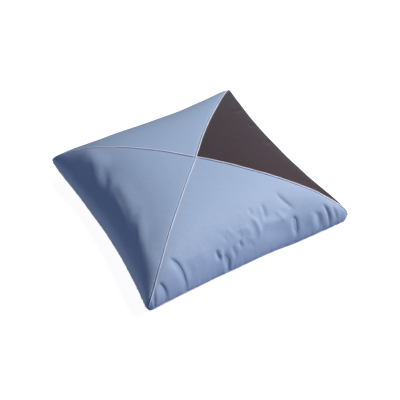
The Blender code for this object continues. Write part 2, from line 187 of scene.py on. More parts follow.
# How deep a panel turns in beside the piping, at even places from the middle of the cushion to the
# corner, and how wide the turn is. It widens with its depth by the spread, and flattens other relief
# within the quiet distance.
Turn = namedtuple("Turn", "depths width")
SHALLOW_TURN = Turn((0.0010,) * 4, 0.0017)
DEEP_TURN = Turn((0.0038, 0.0040, 0.0042, 0.0038), 0.0017)
FRONT_TURN = Turn((0.0016, 0.0016, 0.0012, 0.0008), 0.0017)
LEFT_TURN = Turn((0.0022, 0.0014, 0.0006, 0.0006), 0.0017)
COVERING_TURN = Turn((0.0003,) * 4, 0.0017)
NEAR_TURN = Turn((0.0034,) * 4, 0.0003)
BROWN_TURN = Turn((0.0026, 0.0026, 0.0022, 0.0016), 0.0017)
VALLEY_SPREAD = 0.35
SEAM_QUIET = 0.006

# Panels: their turns beside the left to right seam and beside the other seam
PanelPiece = namedtuple("PanelPiece", "name node side long_turn short_turn slot")
BLUE_SLOT = "light_blue_cotton"
BROWN_SLOT = "dark_brown_cotton"
PANELS = (
    PanelPiece("front_panel_cloth", "panel_front", "front", FRONT_TURN, COVERING_TURN, BLUE_SLOT),
    PanelPiece("left_panel_cloth", "panel_left", "left", LEFT_TURN, NEAR_TURN, BLUE_SLOT),
    PanelPiece("rear_panel_cloth", "panel_rear", "rear", SHALLOW_TURN, DEEP_TURN, BLUE_SLOT),
    PanelPiece("right_panel_cloth", "panel_right", "right", SHALLOW_TURN, BROWN_TURN, BROWN_SLOT),
)
PANEL_POWER = 1.2

# Extra mesh lines: distances from the piped seams and from the outer seam, and how far in cells are cut
SEAM_LINES = (0.0003, 0.0008, 0.0014, 0.0021, 0.0030, 0.0042)
SEAM_REACH = 0.0065
EDGE_LINES = (0.00003, 0.00009, 0.00019, 0.00033, 0.00055)
EDGE_REACH = 0.0030
CUT_TOLERANCE = 1e-7

# Pipings: direction over the pattern, start (a full diagonal or from the middle), how far it leans to one
# side, and how deep it is sunk between its panels
PipingPiece = namedtuple("PipingPiece", "name node direction start lean sink")
PIPINGS = (
    PipingPiece("piping_left_to_right", "piping_long", (1, -1), -1.0, (0.0003, 0.0003), 0.0000),
    PipingPiece("piping_middle_to_near", "piping_to_near_corner", (-1, -1), 0.0, (0.0009, -0.0009), 0.0008),
    PipingPiece("piping_middle_to_far", "piping_to_far_corner", (1, 1), 0.0, (0.0001, -0.0001), -0.0002),
)
LEAN_REACH = 0.010
ROUTE_STEPS = 1200
PIPING_STEP = 0.0022
PIPING_END = 0.0005
PIPING_SIDES = 14
PIPING_WANDER = 0.00018
WANDER_SPAN = 9

# Puckers along the outer seam: lengths of their waves, how much each may vary, and seeds of the draws
PUCKER_LENGTHS = (0.0085, 0.0115, 0.0150, 0.0205, 0.0290)
PUCKER_VARIATION = (0.85, 1.15)
PUCKER_SEEDS = {"front": 3, "left": 5, "rear": 7, "right": 11}

# The back piece: spacing of its grid, how sharply the sides' puckers take turns at the corners, and the
# height over which puckers fade out towards the floor
BACK_POWER = 1.5
SIDE_BLEND = 400.0
LIFT_EASE = 0.004

# The grid that the cloth coordinates are measured over
ARC_CELLS = 160
ARC_POWER = 1.5

# The simulated cover: its grid, frames and random waves, what is held, and where it has spare cloth
COVER_POWER = 1.25
COVER_FRAMES = 22
COVER_SEED = 4
COVER_WAVES = 60
COVER_WAVE_LENGTHS = (0.014, 0.035)
UNEVENNESS = 0.0003
SEAM_START = 1.0 - 1e-5
RESTING_HEIGHT = 1e-9
PIPING_HOLD = 0.012
SPARE_START = 0.52
SPARE_RAMP = 0.22
SPARE_CORNER = 0.12
COVER_CLOTH = {
    "quality": 6,
    "mass": 0.15,
    "time_scale": 3.0,
    "tension_stiffness": 15.0,
    "compression_stiffness": 15.0,
    "shear_stiffness": 6.0,
    "bending_stiffness": 0.02,
    "tension_damping": 1.0,
    "compression_damping": 1.0,
    "shear_damping": 1.0,
    "bending_damping": 0.1,
    "air_damping": 1.0,
    "use_pressure": True,
    "uniform_pressure_force": 3.0,
    "vertex_group_mass": "held",
    "vertex_group_shrink": "spare",
    "shrink_min": 0.0,
    "shrink_max": -0.24,
}

# How much of what the simulation moves is kept on the top, and where
GATHER_START = 0.50
GATHER_RAMP = 0.28
GATHER_DIAGONAL = 0.14
GATHER_SEAM = 0.10
GATHER_KEPT = 0.20
GATHER_KEPT_FRONT = 0.40

# Soft lights, placed by their angles round the cushion from +X: the key at the front right, a weak one at
# the rear right, and what the floor throws back from below. Power in watts.
Softbox = namedtuple("Softbox", "name azimuth elevation distance size colour power")
SOFTBOXES = (
    Softbox("key_light", -31.0, 51.0, 1.9, 0.80, (1.00, 0.94, 0.90), 44.0),
    Softbox("rim_light", 45.0, 38.0, 1.9, 0.90, (0.86, 1.00, 0.78), 5.0),
    Softbox("front_bounce", -62.0, -32.0, 1.9, 0.90, (0.56, 0.65, 1.00), 10.0),
    Softbox("left_bounce", 150.0, -30.0, 1.9, 0.90, (0.80, 0.90, 1.00), 8.0),
)
FLOOR_SIZE = 12.0
FLOOR_GLOW = 0.93
GLOW_COLOUR = (1.0, 0.98, 0.95, 1.0)
SKY_COLOUR = (0.31, 0.46, 1.0, 1.0)
BACKDROP_COLOUR = (1.0, 1.0, 1.0, 1.0)
SENSOR_WIDTH = 36.0

# Weave: how flat the threads are across, how deep a tie dips, the piping tape's finer pitch, and the
# stretch of the noise that makes threads uneven each way
THREAD_ROUNDNESS = 0.6
TIE_DEPTH = 0.6
TAPE_FINENESS = 0.8
THREAD_STRETCH = (60.0, 1400.0, 1.0)
CROSS_STRETCH = (1400.0, 60.0, 1.0)

# What the simulation leaves: its grid lines, and how far the top and the underside moved there
gathers = {}


def length(name, default, description):
    """A property in metres."""
    return FloatProperty(name=name, description=description, default=default, unit="LENGTH")


class CushionForm(bpy.types.PropertyGroup):
    """Sizes of the filled form"""

    half_side: length("Half Side", 0.235, "Half of the distance between neighbouring corners")
    corner_height: length("Corner Height", 0.044, "Common height of the corners above the floor")
    crown_rise: length("Crown Rise", 0.089, "Rise of the top above the level of the corners")
    crown_edge_power: FloatProperty(
        name="Crown Edge Power", description="How late the crown starts to fall towards a side",
        default=2.4)
    crown_fullness: FloatProperty(
        name="Crown Fullness", description="How steeply the crown meets the seam; lower is fuller",
        default=0.28)
    underside_depth: length(
        "Underside Depth", 0.056, "Depth that the underside would have if nothing held it up")
    floor_ease: length("Floor Ease", 0.006, "Height over which the underside eases on to the floor")
    draw_in_power: FloatProperty(
        name="Draw-in Power", description="How late the draw-in of the sides starts", default=3.0)
    side_sag_power: FloatProperty(
        name="Side Sag Power", description="How the sag of the seam gathers at mid side", default=1.5)
    corner_reach: FloatProperty(
        name="Corner Reach", description="Share of the cushion over which a corner tip droops", default=0.45)


class CushionCloth(bpy.types.PropertyGroup):
    """Sizes of the cloth, its seams and its mesh"""

    thickness: length("Cloth Thickness", 0.0015, "Thickness of a top panel")
    body_gap: length("Body Gap", 0.0020, "How far the filled body lies under the panels")
    piping_radius: length("Piping Radius", 0.0012, "Radius of the covered piping cord")
    groove_depth: length(
        "Edge Groove Depth", 0.0009, "How far the outer seam lies back between the two cloths")
    groove_width: length("Edge Groove Width", 0.0018, "Half width of the groove along the outer seam")
    pucker_height: length("Pucker Height", 0.0003, "Height of the small puckers along the outer seam")
    pucker_reach: length("Pucker Reach", 0.011, "How far the small puckers run in from the outer seam")
    gather_cap: length("Gather Cap", 0.006, "The most that the simulation may move a point")
    panel_cells: IntProperty(
        name="Panel Cells", description="Mesh cells across the cushion in the top panels", default=300)
    back_cells: IntProperty(
        name="Back Cells", description="Mesh cells across the cushion in the back", default=150)
    cover_cells: IntProperty(
        name="Cover Cells", description="Mesh cells across the cushion in the simulated cover", default=116)
    weave_pitch: length("Weave Pitch", 0.0007, "Distance between neighbouring threads")


class CushionColours(bpy.types.PropertyGroup):
    """Colours of the cloth, linear RGB"""

    light_blue: FloatVectorProperty(
        name="Light Blue", description="Front, left and rear panels and the back", subtype="COLOR",
        size=3, min=0.0, max=1.0, default=(0.330, 0.440, 0.610))
    dark_brown: FloatVectorProperty(
        name="Dark Brown", description="Right panel", subtype="COLOR",
        size=3, min=0.0, max=1.0, default=(0.041, 0.024, 0.030))
    pale_pink: FloatVectorProperty(
        name="Pale Pink", description="Piping", subtype="COLOR",
        size=3, min=0.0, max=1.0, default=(0.850, 0.860, 1.000))
    floor: FloatVectorProperty(
        name="Floor", description="Studio floor", subtype="COLOR",
        size=3, min=0.0, max=1.0, default=(0.50, 0.50, 0.50))


class CushionStage(bpy.types.PropertyGroup):
    """Camera and lights"""

    lens: FloatProperty(
        name="Lens", description="Focal length for a 36 mm wide sensor", default=63.0, unit="CAMERA")
    azimuth: FloatProperty(
        name="Camera Azimuth", description="Angle round the cushion, 0 looks along +Y",
        default=math.radians(-30.5), unit="ROTATION")
    elevation: FloatProperty(
        name="Camera Elevation", description="Angle above the horizon",
        default=math.radians(47.66), unit="ROTATION")
    distance: length("Camera Distance", 1.5235, "From the aim point")
    aim: FloatVectorProperty(
        name="Aim Point", description="Point in the middle of the picture", subtype="TRANSLATION",
        size=3, default=(-0.0099, -0.0431, 0.044))
    brightness: FloatProperty(
        name="Brightness", description="Scales the power of every softbox", default=1.0)
    sky: FloatProperty(
        name="Sky Strength", description="Even bluish light from all round", default=0.185)


def form_sizes():
    return bpy.context.scene.cushion_form


def cloth_sizes():
    return bpy.context.scene.cushion_cloth


def smooth(share):
    """Ease a share from 0 to 1 at both ends."""
    return share * share * (3.0 - 2.0 * share)


def side_position(side, x, y):
    """Place along a side, and distance in from its seam, of points of the flat pattern."""
    axis, sign = SIDE_AXES[side]
    return (x, y)[1 - axis], form_sizes().half_side - sign * (x, y)[axis]


def by_side(u, v, name):
    """One value of the side table for every point, across X and along Y."""
    across = np.where(u > 0, getattr(SIDES["right"], name), getattr(SIDES["left"], name))
    along = np.where(v > 0, getattr(SIDES["rear"], name), getattr(SIDES["front"], name))
    return across, along


def pull(side, x, y):
    """How much further in the seam of a side runs, carried inwards over the pattern."""
    place = side_position(side, x, y)[0]
    bumps = (np.exp(-((place - knot) / PULL_SPREAD) ** 2) for knot in PULL_PLACES)
    return sum(amount * bump for amount, bump in zip(SIDES[side].pulls, bumps))


def crown(u, v, underside):
    """Share of the full rise, 1 in the middle and 0 on the outer seam."""
    form = form_sizes()
    least = 1e-12
    a = np.clip(1.0 - np.abs(u) ** form.crown_edge_power, least, None)
    b = np.clip(1.0 - np.abs(v) ** form.crown_edge_power, least, None)
    ease_across, ease_along = by_side(u, v, "ease")
    ease = UNDERSIDE_EASE if underside else np.where(np.abs(u) > np.abs(v), ease_across, ease_along)
    return (a * b) ** form.crown_fullness * (2.0 * np.sqrt(a * b) / (a + b)) ** ease


def seam_level(u, v, x, y):
    """Height of the level that the outer seam lies on, carried inwards over the pattern."""
    form = form_sizes()
    slope = u * u - v * v
    sag = np.where(slope > 0, *by_side(u, v, "sag"))
    level = form.corner_height - sag * np.abs(slope) ** form.side_sag_power
    for corner in CORNERS:
        level += corner.lift * (1 + corner.x_sign * u) * (1 + corner.y_sign * v) / 4
    for dip in DIPS:
        place, inwards = side_position(dip.side, x, y)
        level -= dip.drop * np.exp(-((place - dip.place) / dip.spread) ** 2 - (inwards / dip.reach) ** 2)
    return level


def corner_share(corner, u, v, reach):
    """Straight share that runs from 1 at the tip of a corner to 0 at its reach."""
    share = np.clip((corner.x_sign * u + corner.y_sign * v - 2.0 + reach) / reach, 0.0, 1.0)
    return share * (corner.x_sign * u > 0) * (corner.y_sign * v > 0)


def filled_points(x, y, rise, floor_ease=0.0):
    """Pattern points lifted to the filled form: the top, or the underside for a negative rise."""
    form = form_sizes()
    u = x / form.half_side
    v = y / form.half_side
    in_across, in_along = by_side(u, v, "draw_in")
    in_across = in_across * (1 - v * v) + np.where(u > 0, pull("right", x, y), pull("left", x, y))
    in_along = in_along * (1 - u * u) + np.where(v > 0, pull("rear", x, y), pull("front", x, y))
    px = u * (form.half_side - in_across * np.abs(u) ** form.draw_in_power)
    py = v * (form.half_side - in_along * np.abs(v) ** form.draw_in_power)
    pz = seam_level(u, v, x, y) + rise * crown(u, v, rise < 0)
    for corner in CORNERS:
        near = smooth(corner_share(corner, u, v, form.corner_reach))
        tip = corner_share(corner, u, v, corner.radius / form.half_side)
        outwards = corner.poke * near - corner.radius * tip ** 2 / 4.0
        px = px + corner.x_sign * outwards
        py = py + corner.y_sign * outwards
        pz = pz - corner.droop * near
    if floor_ease:
        eased = (pz + floor_ease) ** 2 / (4.0 * floor_ease)
        pz = np.where(pz < -floor_ease, 0.0, np.where(pz < floor_ease, eased, pz))
    return np.stack([px, py, pz], axis=-1)


def folds_of(side):
    """The creases of one panel, in metres."""
    for row in FOLDS[side]:
        lengths = (value / 1000.0 for value in row[:FOLD_LENGTHS])
        yield Fold(*lengths, *row[FOLD_LENGTHS:])


def fold_relief(side, x, y):
    """Height that the creases of one panel add along its outward direction."""
    relief = np.zeros_like(x)
    place, inwards = side_position(side, x, y)
    for fold in folds_of(side):
        run = fold.end - fold.start
        rise = fold.end_in - fold.start_in
        length = math.hypot(run, rise)
        share = ((place - fold.start) * run + (inwards - fold.start_in) * rise) / length ** 2
        inside = np.clip(share, 0.0, 1.0)
        across = ((inwards - fold.start_in) * run - (place - fold.start) * rise) / length
        across = across - fold.bow * 4.0 * inside * (1.0 - inside)
        width = fold.half_width * np.where(across > 0, 1.0 + fold.skew, 1.0 - fold.skew)
        fade = np.exp(-(2.0 * share - 1.0) ** 4)
        trough = -fold.depth * np.exp(-np.abs(across / width) ** (2.0 - fold.sharp))
        lip_width = fold.half_width * (1.0 + math.copysign(fold.skew, fold.lip * fold.skew))
        lip_line = math.copysign(LIP_OFFSET * lip_width, fold.lip)
        lip = abs(fold.lip) * np.exp(-((across - lip_line) / (LIP_WIDTH * lip_width)) ** 2)
        relief += (trough + lip) * fade
    return relief


def pucker_waves(place, seed):
    """Uneven waves along a seam, about one unit high, from a fixed seed."""
    draws = np.random.default_rng(seed)
    waves = np.zeros_like(place)
    for length in PUCKER_LENGTHS:
        wave_number = 2.0 * math.pi / (length * draws.uniform(*PUCKER_VARIATION))
        waves += np.sin(place * wave_number + draws.uniform(0.0, 2.0 * math.pi))
    return waves / math.sqrt(len(PUCKER_LENGTHS) / 2)


def pattern_lines(cells, power):
    """Places of the grid lines across the flat pattern, closer together towards the outer seam."""
    steps = np.linspace(-1.0, 1.0, cells + 1)
    eased = np.sign(steps) * (1.0 - (1.0 - np.abs(steps)) ** power)
    return eased * form_sizes().half_side


def make_pattern(cells, power):
    """The flat square pattern as a grid."""
    half = form_sizes().half_side
    pattern = bmesh.new()
    bmesh.ops.create_grid(pattern, x_segments=cells, y_segments=cells, size=half)
    lines = pattern_lines(cells, power)
    for vert in pattern.verts:
        column = round((vert.co.x / half + 1.0) / 2.0 * cells)
        row = round((vert.co.y / half + 1.0) / 2.0 * cells)
        vert.co.x = lines[column]
        vert.co.y = lines[row]
    return pattern


def cut_pattern(pattern, point, direction, faces=None, **clear):
    """Cut faces of the flat pattern along one straight line, in the same order each run."""
    faces = pattern.faces[:] if faces is None else faces
    edges = dict.fromkeys(edge for face in faces for edge in face.edges)
    verts = dict.fromkeys(vert for face in faces for vert in face.verts)
    bmesh.ops.bisect_plane(
        pattern, geom=[*faces, *edges, *verts], dist=CUT_TOLERANCE,
        plane_co=point, plane_no=direction, **clear)


def new_mesh(name, shape):
    """The mesh of a finished bmesh, which is freed."""
    mesh = bpy.data.meshes.new(name)
    shape.to_mesh(mesh)
    shape.free()
    return mesh


def new_object(name, data):
    """A new object in the scene."""
    item = bpy.data.objects.new(name, data)
    bpy.context.scene.collection.objects.link(item)
    return item


def read_all(items, name, width=1, kind=float):
    """One value of every item, as the rows of an array."""
    values = np.zeros(len(items) * width, kind)
    items.foreach_get(name, values)
    return values.reshape(-1, width)


def flat_points(mesh):
    """All points of a mesh as an array."""
    return read_all(mesh.vertices, "co", 3)


def place_points(mesh, points):
    """Move all points of a mesh."""
    mesh.vertices.foreach_set("co", np.asarray(points, float).ravel())
    mesh.update()


def outward_directions(mesh):
    """Smooth outward direction at every point of a mesh."""
    return read_all(mesh.vertex_normals, "vector", 3)


def top_marks(mesh):
    """Which points of a doubled pattern belong to its top."""
    return read_all(mesh.attributes["on_top"].data, "value", kind=np.int32)[:, 0] == 1


def grid_place(lines, x, y):
    """Column of the grid cell that holds each point and share across it, then its row and share."""
    last = len(lines) - 1
    columns = np.interp(x, lines, np.arange(last + 1))
    rows = np.interp(y, lines, np.arange(last + 1))
    column = np.clip(np.floor(columns).astype(int), 0, last - 1)
    row = np.clip(np.floor(rows).astype(int), 0, last - 1)
    return column, columns - column, row, rows - row


def read_gathers(which, x, y):
    """How far the simulation moved the cloth at points of the pattern, by smooth interpolation."""
    moved = gathers[which]
    last = len(moved) - 1
    column, across, row, along = grid_place(gathers["lines"], x, y)
    column_weights = cubic_weights(across)
    row_weights = cubic_weights(along)
    total = np.zeros((len(x), 3))
    for i in range(4):
        for j in range(4):
            source = moved[np.clip(column + i - 1, 0, last), np.clip(row + j - 1, 0, last)]
            total += source * (column_weights[i] * row_weights[j])[:, None]
    return total


def read_grid(values, lines, x, y):
    """Straight interpolation of one value per grid crossing."""
    column, s, row, t = grid_place(lines, x, y)
    low = values[column, row] * (1 - s) + values[column + 1, row] * s
    high = values[column, row + 1] * (1 - s) + values[column + 1, row + 1] * s
    return low * (1 - t) + high * t


def cubic_weights(t):
    """Weights of four neighbours in a smooth cubic through them."""
    return (
        ((2.0 - t) * t - 1.0) * t / 2.0,
        (t * t * (3.0 * t - 5.0) + 2.0) / 2.0,
        ((4.0 - 3.0 * t) * t + 1.0) * t / 2.0,
        (t - 1.0) * t * t / 2.0,
    )


def even_curve(values, share):
    """A smooth curve through values at even places, where the share runs from 0 to 1."""
    last = len(values) - 1
    values = np.asarray(values)
    place = np.clip(share, 0.0, 1.0) * last
    before = np.clip(np.floor(place).astype(int), 0, last - 1)
    weights = cubic_weights(place - before)
    return sum(weights[i] * values[np.clip(before + i - 1, 0, last)] for i in range(4))


def seam_slide(along, off, ahead, behind):
    """How far one piped seam carries the cloth beside it off its diagonal."""
    share = along / (2.0 * form_sizes().half_side)
    slide = np.where(
        share > 0, even_curve(SEAM_SLIDES[ahead], share), even_curve(SEAM_SLIDES[behind], -share))
    return slide * np.exp(-(off / SLIDE_WIDTH) ** 2 / 2.0)


def slide_seams(x, y):
    """Move pattern points beside the piped seams, which wander off the true diagonals."""
    short = seam_slide(x + y, x - y, "far", "near")
    long = seam_slide(x - y, x + y, "right", "left")
    inside = 1.0 - (np.maximum(np.abs(x), np.abs(y)) / form_sizes().half_side) ** SLIDE_EDGE_POWER
    return x + (short - long) * inside / math.sqrt(2.0), y - (short + long) * inside / math.sqrt(2.0)


def top_points(x, y):
    """Points of the pattern on the gathered top, before creases and seams."""
    return filled_points(x, y, form_sizes().crown_rise) + read_gathers("top", x, y)


def underside_points(x, y):
    """Points of the pattern on the underside."""
    form = form_sizes()
    return filled_points(x, y, -form.underside_depth, form.floor_ease) + read_gathers("underside", x, y)


def edge_distance(side, x, y, points):
    """Distance in space from one side's outer seam."""
    axis, sign = SIDE_AXES[side]
    edge = [x, y]
    edge[axis] = np.full_like(x, sign * form_sizes().half_side)
    return np.linalg.norm(points - filled_points(*edge, form_sizes().crown_rise), axis=1)


def seam_distance(sign, x, y, points):
    """Distance in space from one piped seam, whose flat line has y equal to the sign times x."""
    middle = (x + sign * y) / 2.0
    return np.linalg.norm(points - top_points(*slide_seams(middle, sign * middle)), axis=1)


def edge_relief(side, x, y, distance):
    """Small puckers that the outer seam draws into the cloth."""
    cloth = cloth_sizes()
    waves = pucker_waves(side_position(side, x, y)[0], PUCKER_SEEDS[side])
    rise = 1.0 - np.exp(-(distance / cloth.groove_width) ** 2)
    return cloth.pucker_height * waves * rise * np.exp(-distance / cloth.pucker_reach)


def edge_groove(outwards, distance):
    """The level step back that cloth takes in the groove of the outer seam."""
    cloth = cloth_sizes()
    groove = cloth.groove_depth * np.exp(-(distance / cloth.groove_width) ** 2)
    return outwards * np.array([1.0, 1.0, 0.0]) * groove[:, None]


def keep_cloth_coordinates(mesh, x, y, points_of):
    """A UV map in metres of cloth, so that the weave keeps its size over the curved form."""
    lines = pattern_lines(ARC_CELLS, ARC_POWER)
    grid_x, grid_y = np.meshgrid(lines, lines, indexing="ij")
    grid = points_of(grid_x.ravel(), grid_y.ravel()).reshape(len(lines), len(lines), 3)
    corners = read_all(mesh.loops, "vertex_index", kind=np.int32)[:, 0]
    metres = []
    for axis in (0, 1):
        steps = np.linalg.norm(np.diff(grid, axis=axis), axis=2)
        travelled = np.cumsum(np.insert(steps, 0, 0.0, axis=axis), axis=axis)
        travelled -= np.take(travelled, [ARC_CELLS // 2], axis=axis)
        metres.append(read_grid(travelled, lines, x, y)[corners])
    layer = mesh.uv_layers.new(name="cloth")
    layer.data.foreach_set("uv", np.stack(metres, axis=1).astype(np.float32).ravel())


def finish_piece(name, mesh, material, slot, *nodes):
    """Link a finished mesh as a piece that stands for CAD nodes."""
    mesh.shade_smooth()
    mesh.materials.append(material)
    piece = new_object(name, mesh)
    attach(piece, BODY)
    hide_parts(*nodes)
    return piece


def make_cover():
    """The closed cover for the simulation: top and underside, joined along the outer seam."""
    cover = make_pattern(cloth_sizes().cover_cells, COVER_POWER)
    on_top = cover.verts.layers.int.new("on_top")
    for vert in cover.verts:
        vert[on_top] = 1
    doubled = bmesh.ops.duplicate(cover, geom=cover.verts[:] + cover.edges[:] + cover.faces[:])["geom"]
    for item in doubled:
        if isinstance(item, bmesh.types.BMVert):
            item[on_top] = 0
    bmesh.ops.reverse_faces(cover, faces=[item for item in doubled if isinstance(item, bmesh.types.BMFace)])
    reach = form_sizes().half_side * SEAM_START
    seam = [vert for vert in cover.verts if max(abs(vert.co.x), abs(vert.co.y)) > reach]
    bmesh.ops.remove_doubles(cover, verts=seam, dist=CUT_TOLERANCE)
    return new_mesh("cover", cover)


def seeded_unevenness(x, y):
    """Faint random waves that tell the gathers where to start, the same each run."""
    draws = np.random.default_rng(COVER_SEED)
    waves = np.zeros_like(x)
    for _ in range(COVER_WAVES):
        number = 2.0 * math.pi / draws.uniform(*COVER_WAVE_LENGTHS)
        angle = draws.uniform(0.0, 2.0 * math.pi)
        phase = draws.uniform(0.0, 2.0 * math.pi)
        waves += np.cos(number * (x * math.cos(angle) + y * math.sin(angle)) + phase)
    return waves / math.sqrt(COVER_WAVES / 2)


def simulate_cover():
    """Inflate the cover, and keep how far its top and underside move on the grid of its pattern."""
    form = form_sizes()
    mesh = make_cover()
    flat = flat_points(mesh)
    x, y = flat[:, 0], flat[:, 1]
    on_top = top_marks(mesh)
    across = np.maximum(np.abs(x), np.abs(y)) / form.half_side
    along = np.minimum(np.abs(x), np.abs(y)) / form.half_side
    on_seam = across > SEAM_START
    top = filled_points(x, y, form.crown_rise)
    underside = filled_points(x, y, -form.underside_depth, form.floor_ease)
    resting = ~on_top & (underside[:, 2] < RESTING_HEIGHT)
    start = np.where(on_top[:, None], top, underside)
    start[on_seam] = top[on_seam]
    place_points(mesh, start)
    uneven = seeded_unevenness(x, y) * UNEVENNESS * (on_top & ~on_seam)
    start = start + outward_directions(mesh) * uneven[:, None]
    place_points(mesh, start)
    cover = new_object("cover", mesh)
    on_piping = on_top & (across - along < PIPING_HOLD)
    held = cover.vertex_groups.new(name="held")
    held.add(np.where(resting | on_seam | on_piping)[0].tolist(), 1.0, "REPLACE")
    spare = cover.vertex_groups.new(name="spare")
    weights = np.clip((across - SPARE_START) / SPARE_RAMP, 0.0, 1.0)
    weights *= np.clip((1.0 - along) / SPARE_CORNER, 0.0, 1.0) * on_top
    for index in np.where(weights > 0.0)[0]:
        spare.add([int(index)], float(weights[index]), "REPLACE")
    inflate(cover)
    settled = cover.evaluated_get(bpy.context.evaluated_depsgraph_get())
    moved = flat_points(settled.data) - start
    length = np.linalg.norm(moved, axis=1, keepdims=True)
    cap = cloth_sizes().gather_cap
    moved = moved * cap / np.maximum(length, cap)
    moved *= np.where(on_top, gather_share(x / form.half_side, y / form.half_side), 1.0)[:, None]
    lines = pattern_lines(cloth_sizes().cover_cells, COVER_POWER)
    columns = np.searchsorted(lines, x - CUT_TOLERANCE)
    rows = np.searchsorted(lines, y - CUT_TOLERANCE)
    for which, chosen in (("top", on_top | on_seam), ("underside", ~on_top | on_seam)):
        gathers[which] = np.zeros((len(lines), len(lines), 3))
        gathers[which][columns[chosen], rows[chosen]] = moved[chosen]
    gathers["lines"] = lines
    bpy.data.objects.remove(cover)


def gather_share(u, v):
    """How much of the simulated gathers the cushion keeps: most on the shoulders, none on the crown."""
    across = np.maximum(np.abs(u), np.abs(v))
    from_diagonal = across - np.minimum(np.abs(u), np.abs(v))
    outer = np.clip((across - GATHER_START) / GATHER_RAMP, 0.0, 1.0)
    beside = np.clip(from_diagonal / GATHER_DIAGONAL, 0.0, 1.0)
    from_seam = 1.0 - np.exp(-((1.0 - across) / GATHER_SEAM) ** 2)
    kept = np.where(-v > np.abs(u), GATHER_KEPT_FRONT, GATHER_KEPT)
    return kept * smooth(outer) * smooth(beside) * from_seam


def inflate(cover):
    """Run the cloth simulation on the cover: filling as pressure, spare cloth along the sides."""
    modifier = cover.modifiers.new("cloth", "CLOTH")
    for name, value in COVER_CLOTH.items():
        setattr(modifier.settings, name, value)
    modifier.settings.effector_weights.gravity = 0.0
    modifier.collision_settings.use_collision = False
    modifier.point_cache.frame_start = 1
    modifier.point_cache.frame_end = COVER_FRAMES
    for number in range(1, COVER_FRAMES + 1):
        bpy.context.scene.frame_set(number)


class CUSHION_OT_fill_cover(bpy.types.Operator):
    """Fill the cover by cloth simulation and keep how it gathers"""

    bl_idname = "cushion.fill_cover"
    bl_label = "Fill Cover"

    def execute(self, context):
        simulate_cover()
        context.scene.frame_set(1)
        return {"FINISHED"}


def pattern_point(side, place, inwards):
    """Pattern point at a place along a side and a distance in from its seam."""
    axis, sign = SIDE_AXES[side]
    point = Vector((place, place, 0))
    point[axis] = sign * (form_sizes().half_side - inwards)
    return point


def cut_fold_lines(pattern, side, fold):
    """Lines along one crease, so that its section is followed closely."""
    start = pattern_point(side, fold.start, fold.start_in)
    end = pattern_point(side, fold.end, fold.end_in)
    length = (end - start).length
    along = (end - start) / length
    across = Vector((-along.y, along.x, 0))
    width = fold.half_width * (1.0 + abs(fold.skew))
    reach = (FOLD_LINES[-1] + 1.0) * width
    for line in FOLD_LINES:
        near = []
        for face in pattern.faces:
            centre = face.calc_center_median() - start
            share = centre.dot(along) / length
            if abs(centre.dot(across)) < reach and -FOLD_MARGIN < share < 1.0 + FOLD_MARGIN:
                near.append(face)
        cut_pattern(pattern, start + across * line * width, across, near)


def make_panel(panel, material):
    """One triangular top panel, turned in beside the piping and along the outer seam."""
    cloth = cloth_sizes()
    half = form_sizes().half_side
    axis, sign = SIDE_AXES[panel.side]
    outward = Vector((0, 0, 0))
    outward[axis] = sign
    pattern = make_pattern(cloth.panel_cells, PANEL_POWER)
    for turn in (-1, 1):
        seam_side = Vector((outward.x - turn * outward.y, outward.y + turn * outward.x, 0)).normalized()
        cut_pattern(pattern, (0, 0, 0), seam_side, clear_inner=True)
        for line in SEAM_LINES:
            near = [face for face in pattern.faces if face.calc_center_median().dot(seam_side) < SEAM_REACH]
            cut_pattern(pattern, seam_side * line, seam_side, near)
    for line in EDGE_LINES:
        near = [face for face in pattern.faces if face.calc_center_median().dot(outward) > half - EDGE_REACH]
        cut_pattern(pattern, outward * (half - line), outward, near)
    for fold in folds_of(panel.side):
        cut_fold_lines(pattern, panel.side, fold)
    mesh = new_mesh(panel.name, pattern)
    shape_panel(panel, mesh)
    piece = finish_piece(panel.name, mesh, material, panel.slot, panel.node)
    thickness = piece.modifiers.new("thickness", "SOLIDIFY")
    thickness.thickness = cloth.thickness
    thickness.offset = -1.0


def shape_panel(panel, mesh):
    """Lift a flat panel to the filled form, with its gathers, creases, puckers and turned-in edges."""
    flat = flat_points(mesh)
    x, y = slide_seams(flat[:, 0], flat[:, 1])
    points = top_points(x, y)
    place_points(mesh, points)
    outwards = outward_directions(mesh)
    from_edge = edge_distance(panel.side, x, y, points)
    relief = fold_relief(panel.side, x, y) + edge_relief(panel.side, x, y, from_edge)
    for sign, turn in ((-1.0, panel.long_turn), (1.0, panel.short_turn)):
        along = np.abs(flat[:, 0] + sign * flat[:, 1]) / (2.0 * form_sizes().half_side)
        depth = even_curve(turn.depths, along)
        width = turn.width + VALLEY_SPREAD * depth
        distance = seam_distance(sign, flat[:, 0], flat[:, 1], points)
        relief *= 1.0 - np.exp(-(distance / SEAM_QUIET) ** 2)
        relief -= depth * np.exp(-(distance / width) ** 4)
    place_points(mesh, points + outwards * relief[:, None] - edge_groove(outwards, from_edge))
    keep_cloth_coordinates(mesh, x, y, top_points)


class CUSHION_OT_top_panels(bpy.types.Operator):
    """Make the four triangular panels of the top"""

    bl_idname = "cushion.top_panels"
    bl_label = "Top Panels"

    def execute(self, context):
        colours = context.scene.cushion_colours
        materials = {
            BLUE_SLOT: cotton_material("light_blue_sateen", colours.light_blue, 0.15, 0.30),
            BROWN_SLOT: cotton_material("dark_brown_sateen", colours.dark_brown, 0.36, 0.22),
        }
        for panel in PANELS:
            make_panel(panel, materials[panel.slot])
        return {"FINISHED"}


